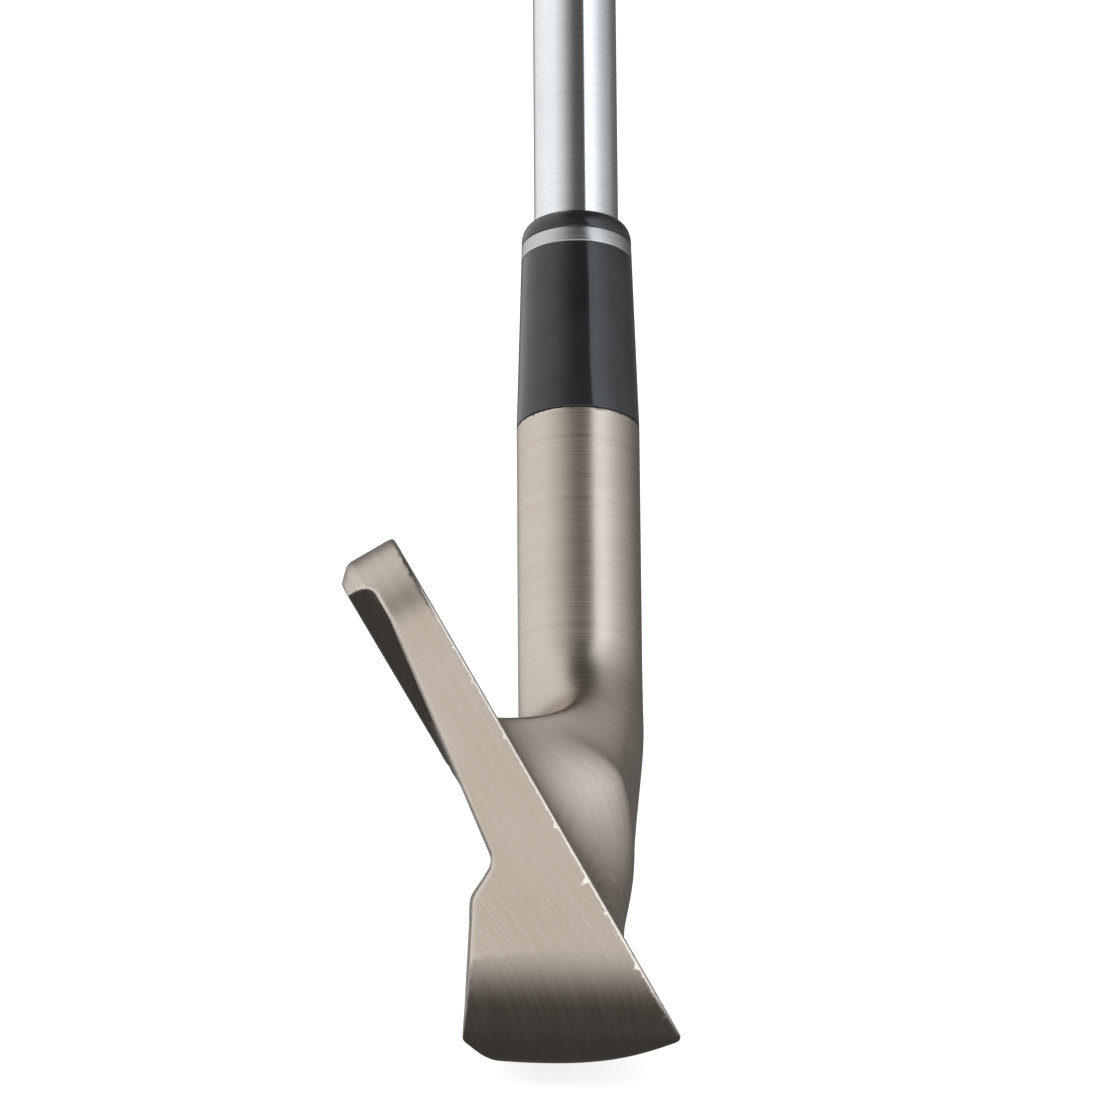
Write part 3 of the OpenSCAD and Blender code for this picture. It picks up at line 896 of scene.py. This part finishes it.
def turned_metal(name, dark, light, rough, pitch_mm, depth_mm):
    """Metal with fine lines round the shaft axis."""
    paint = Paint(name, dark, 1.0, rough)
    place = paint.place()
    rings = paint.turn(place, (ACROSS * 30, SIDE * 30, SHAFT * PER_MM / pitch_mm))
    lines = paint.noise(rings, 1.0, 3.0, 0.6)
    clouds = paint.noise(place, 120.0, 3.0)
    tone = paint.mix(lines, 0.6, clouds, 0.4)
    paint.drive("Base Color", paint.blend(paint.span(tone, 0.35, 0.65, 0.0, 1.0), dark, light))
    paint.drive("Roughness", paint.span(lines, 0.3, 0.7, rough * 0.75, rough * 1.3))
    paint.bump(lines, depth_mm)
    return paint.made


def grained(name, dark, light, rough, grain_mm, depth_mm, metal=0.0):
    """A matte surface with an even grain: rubber, foam, paper or cast adhesive."""
    paint = Paint(name, dark, metal, rough)
    place = paint.place()
    grain = paint.noise(place, PER_MM / grain_mm, 3.0, 0.6)
    clouds = paint.noise(place, 45.0, 2.0)
    tone = paint.mix(grain, 0.5, clouds, 0.5)
    paint.drive("Base Color", paint.blend(paint.span(tone, 0.35, 0.65, 0.0, 1.0), dark, light))
    paint.drive("Roughness", paint.span(grain, 0.3, 0.7, rough * 0.85, min(rough * 1.15, 1.0)))
    paint.bump(grain, depth_mm)
    return paint.made


def brushed_badge():
    """Dark anodised sheet with straight brushing from heel to toe."""
    paint = Paint("anodised_badge", (0.06, 0.06, 0.064), 1.0, 0.34)
    place = paint.place()
    up_face = np.cross(FACE_NORMAL, (0, 1.0, 0))
    streaks = paint.turn(place, (up_face * PER_MM * 8, (0, 40, 0), FACE_NORMAL * 40))
    lines = paint.noise(streaks, 1.0, 2.0, 0.6)
    paint.drive("Base Color", paint.blend(
        paint.span(lines, 0.35, 0.65, 0.0, 1.0), (0.045, 0.045, 0.05), (0.09, 0.09, 0.095)
    ))
    paint.drive("Roughness", paint.span(lines, 0.3, 0.7, 0.26, 0.42))
    paint.bump(lines, 0.006)
    return paint.made


def paper_floor():
    """A plain white sheet, a little self-lit so that it stays white under the soft light."""
    paint = Paint("floor_paper", (0.9, 0.9, 0.9), 0.0, 0.9)
    paint.set("Specular IOR Level", 0.0)
    paint.set("Emission Color", (1, 1, 1, 1))
    paint.set("Emission Strength", FLOOR_GLOW)
    return paint.made


HEAD_METAL = brushed_head()
BLACK = moulded_black("ferrule_plastic", (0.012, 0.012, 0.014), 0.14, 0.25)
SILVER = turned_metal("ring_metal", (0.5, 0.5, 0.49), (0.66, 0.65, 0.63), 0.26, 0.12, 0.006)
CHROME = turned_metal("shaft_chrome", (0.8, 0.81, 0.83), (0.9, 0.91, 0.92), 0.09, 0.5, 0.0015)
RUBBER = grained("grip_rubber", (0.018, 0.018, 0.019), (0.035, 0.035, 0.037), 0.62, 0.35, 0.03)
DAMPER = grained("damper_rubber", (0.02, 0.02, 0.022), (0.04, 0.04, 0.043), 0.75, 0.3, 0.02)
FOAM = grained("badge_foam", (0.05, 0.05, 0.05), (0.11, 0.11, 0.11), 0.9, 0.2, 0.03)
EPOXY = grained("cured_epoxy", (0.42, 0.35, 0.19), (0.6, 0.52, 0.33), 0.4, 1.2, 0.02)
PAPER = grained("tape_paper", (0.62, 0.58, 0.47), (0.74, 0.7, 0.6), 0.85, 0.5, 0.03)
BRASS = turned_metal("plug_brass", (0.62, 0.45, 0.17), (0.78, 0.6, 0.28), 0.3, 0.2, 0.006)
BADGE = brushed_badge()
for piece, made in (
    (head_piece, HEAD_METAL),
    (body_piece, BLACK),
    (collar_piece, BLACK),
    (ring_piece, SILVER),
):
    piece.data.materials.append(made)
for node, made in (
    ("shaft", CHROME),
    ("grip_sleeve", RUBBER),
    ("grip_cap", RUBBER),
    ("cavity_damper", DAMPER),
    ("badge_tape", FOAM),
    ("cavity_badge", BADGE),
    ("shaft_bond", EPOXY),
    ("tip_weight", BRASS),
    ("grip_tape", PAPER),
):
    mesh = frame["nodes"][node].data
    mesh.materials.clear()
    mesh.materials.append(made)

# ---------- floor, light and camera ----------


FLOOR_HALF = 6.0
FLOOR_GAP = 0.2 * MM


def make_floor():
    mesh = bpy.data.meshes.new("floor")
    far = FLOOR_HALF
    corners = [(-far, -far, 0), (far, -far, 0), (far, far, 0), (-far, far, 0)]
    mesh.from_pydata(corners, [], [(0, 1, 2, 3)])
    floor = link("floor", mesh)
    floor.location.z = -FLOOR_GAP
    mesh.materials.append(paper_floor())
    floor.visible_glossy = False


# The studio all round at eye level, as azimuth in degrees (0 is the toe side, 90 the face side),
# level, and how cool the light is
STUDIO = (
    (-179, 0.1, 0),
    (-168, 0.12, 0),
    (-155, 0.6, 0),
    (-145, 0.8, 0),
    (-106, 0.95, 0.02),
    (-80, 0.9, 0.02),
    (-60, 0.62, 0.02),
    (-43, 0.36, 0),
    (-30, 0.2, 0),
    (-15, 0.08, 0),
    (0, 0.04, 0),
    (28, 0.03, 0),
    (32, 1.35, 0.08),
    (51, 1.3, 0.08),
    (69, 0.95, 0.06),
    (88, 0.56, 0.04),
    (105, 0.36, 0.02),
    (127, 0.12, 0),
    (150, 0.07, 0),
    (179, 0.08, 0),
)
FRONT_FILL = 0.74
DOWN_LEVEL = 0.04
AMBIENT, AMBIENT_TINT = 0.055, (1, 0.96, 0.93)
# Where each light fades in, from none to full, in degrees
LOW_FADE, HIGH_FADE = (-34, -8), (78, 52)
FRONT_FADE = (65, 30)
FILL_LOW_FADE, FILL_HIGH_FADE = (-62, -8), (44, 26)


def make_world():
    """A soft studio: a broad box at each side, a low fill in front, and dark behind, above and below."""
    world = bpy.data.worlds.new("studio")
    world.use_nodes = True
    tree = world.node_tree
    back = tree.nodes["Background"]
    way = tree.nodes.new("ShaderNodeTexCoord")
    split = tree.nodes.new("ShaderNodeSeparateXYZ")
    tree.links.new(way.outputs["Generated"], split.inputs[0])
    x, y, z = split.outputs

    def maths(operation, *values):
        return maths_node(tree, operation, values)

    def fade(angle, ends):
        step = tree.nodes.new("ShaderNodeMapRange")
        step.interpolation_type = "SMOOTHSTEP"
        tree.links.new(angle, step.inputs["Value"])
        step.inputs["From Min"].default_value = math.radians(ends[0])
        step.inputs["From Max"].default_value = math.radians(ends[1])
        return step.outputs[0]

    azimuth = maths("ARCTAN2", x, maths("MULTIPLY", y, -1.0))
    turn = maths("ADD", maths("DIVIDE", azimuth, 2 * math.pi), 0.5)
    sides = tree.nodes.new("ShaderNodeValToRGB")
    tree.links.new(turn, sides.inputs[0])
    ramp = sides.color_ramp
    for place, level, cool in STUDIO:
        at = place / 360 + 0.5
        stop = ramp.elements.new(at)
        stop.color = (level * (1 - cool), level, level * (1 + cool), 1)
    ramp.elements.remove(ramp.elements[0])
    ramp.elements.remove(ramp.elements[-1])
    elevation = maths("ARCSINE", z)
    low = fade(elevation, LOW_FADE)
    dark_above = fade(elevation, HIGH_FADE)
    floor_level = maths("ADD", maths("MULTIPLY", low, 1 - DOWN_LEVEL), DOWN_LEVEL)
    side_share = maths("MULTIPLY", floor_level, dark_above)
    front = fade(maths("ABSOLUTE", azimuth), FRONT_FADE)
    fill_low = fade(elevation, FILL_LOW_FADE)
    fill_high = fade(elevation, FILL_HIGH_FADE)
    fill = maths("MULTIPLY", front, maths("MULTIPLY", fill_low, fill_high))
    fill = maths("MULTIPLY", fill, FRONT_FILL)
    share = tree.nodes.new("ShaderNodeVectorMath")
    share.operation = "SCALE"
    tree.links.new(sides.outputs[0], share.inputs[0])
    tree.links.new(side_share, share.inputs["Scale"])
    both = tree.nodes.new("ShaderNodeVectorMath")
    tree.links.new(share.outputs[0], both.inputs[0])
    tree.links.new(fill, both.inputs[1])
    lifted = tree.nodes.new("ShaderNodeVectorMath")
    tree.links.new(both.outputs[0], lifted.inputs[0])
    lifted.inputs[1].default_value = tuple(AMBIENT * part for part in AMBIENT_TINT)
    tree.links.new(lifted.outputs[0], back.inputs[0])
    back.inputs[1].default_value = 1.0
    bpy.context.scene.world = world


# The view from the toe: a little round to the face, a little above and a little rolled, in degrees
CAMERA_DISTANCE = 850.0
CAMERA_TURNS = (5.0, 4.5, 2.04)
LENS, SENSOR = 251.476, 36.0
# How far the top of the hosel is from the middle of the view
AIM_RIGHT, AIM_UP = 3.0974, 13.2743


def make_camera():
    """A long lens aimed near the top of the hosel."""
    azimuth, elevation, roll = (math.radians(a) for a in CAMERA_TURNS)
    way = np.array(
        [
            math.sin(azimuth) * math.cos(elevation),
            math.cos(azimuth) * math.cos(elevation),
            -math.sin(elevation),
        ]
    )
    spot = SHAFT * HOSEL_TOP - CAMERA_DISTANCE * way
    right, up = camera_sides(way, roll)
    axis = way - (right * AIM_RIGHT + up * AIM_UP) / CAMERA_DISTANCE
    axis /= np.linalg.norm(axis)
    right, up = camera_sides(axis, roll)
    data = bpy.data.cameras.new("camera")
    data.sensor_width = SENSOR
    data.lens = LENS
    data.clip_start, data.clip_end = 0.01, 50
    camera = bpy.data.objects.new("camera", data)
    turn = Matrix((right, up, -axis)).transposed()
    camera.matrix_world = Matrix.Translation(Vector(spot * MM)) @ turn.to_4x4()
    bpy.context.scene.collection.objects.link(camera)
    bpy.context.scene.camera = camera


def camera_sides(axis, roll):
    """The directions right and up across the view along an axis, rolled."""
    right = np.cross(axis, [0, 0, 1.0])
    right /= np.linalg.norm(right)
    up = np.cross(right, axis)
    c, s = math.cos(roll), math.sin(roll)
    return c * right + s * up, c * up - s * right


make_floor()
make_world()
make_camera()
scene = bpy.context.scene
scene.view_settings.view_transform = "Standard"
